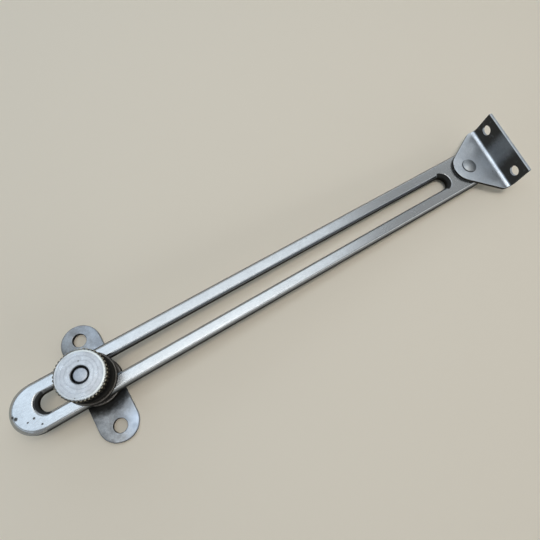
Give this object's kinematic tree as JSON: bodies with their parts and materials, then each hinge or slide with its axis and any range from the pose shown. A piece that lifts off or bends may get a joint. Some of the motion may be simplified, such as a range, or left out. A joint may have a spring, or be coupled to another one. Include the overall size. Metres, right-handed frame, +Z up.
{
  "type": "lid stay",
  "caption": "Slotted metal lid stay with a screwed base plate, a knurled thumb nut that clamps the sliding arm, and a riveted angle bracket for the lid.",
  "frame": {"origin": "on the stud's axis at the underside of the base plate", "axes": "+X along the slotted arm from the stud to the bracket, +Y along the base plate's line of screws, +Z up the stud away from the surface it is screwed to"},
  "size_m": [0.2109, 0.0436, 0.0245],
  "materials": {
    "plate_iron": "antique iron plating, satin, worn bright on the edges",
    "arm_iron": "antique iron plating, satin and mottled, with small dark pits",
    "nut_iron": "turned, relieved bright on the face, dark brown in the knurl and the neck",
    "stack_iron": "dark oxidised iron, bright only on the rims",
    "bracket_iron": "antique iron plating, grey on the tongue and dark brown inside the flange"
  },
  "bodies": {
    "base": {"base_plate": "plate_iron", "threaded_stud": "nut_iron"},
    "collar": {"spacer_collar": "stack_iron"},
    "arm": {"slotted_arm": "arm_iron", "pivot_rivet": "bracket_iron"},
    "bracket": {"angle_bracket": "bracket_iron"},
    "washer": {"clamp_washer": "stack_iron"},
    "nut": {"thumb_nut": "nut_iron"}
  },
  "joints": [
    {"name": "arm_swivel", "type": "hinge", "parent": "base", "child": "collar", "pos_m": [0, 0, 0], "axis": [0, 0, 1], "continuous": true},
    {"name": "arm_slide", "type": "slide", "parent": "collar", "child": "arm", "axis": [1, 0, 0], "range_m": [-0.15, 0.0138]},
    {"name": "bracket_pivot", "type": "hinge", "parent": "arm", "child": "bracket", "pos_m": [0.1696, 0.0004, 0.0118], "axis": [0, 0, 1], "range_deg": [-81, 99]},
    {"name": "nut_lift", "type": "slide", "parent": "base", "child": "washer", "axis": [0, 0, 1], "range_m": [0, 0.0016]},
    {"name": "nut_turn", "type": "hinge", "parent": "washer", "child": "nut", "pos_m": [0, 0, 0.013], "axis": [0, 0, 1], "range_deg": [0, 720]}
  ],
  "couplings": [
    {"joint": "nut_lift", "follows": "nut_turn", "m_per_rad": 0.0001273}
  ]
}
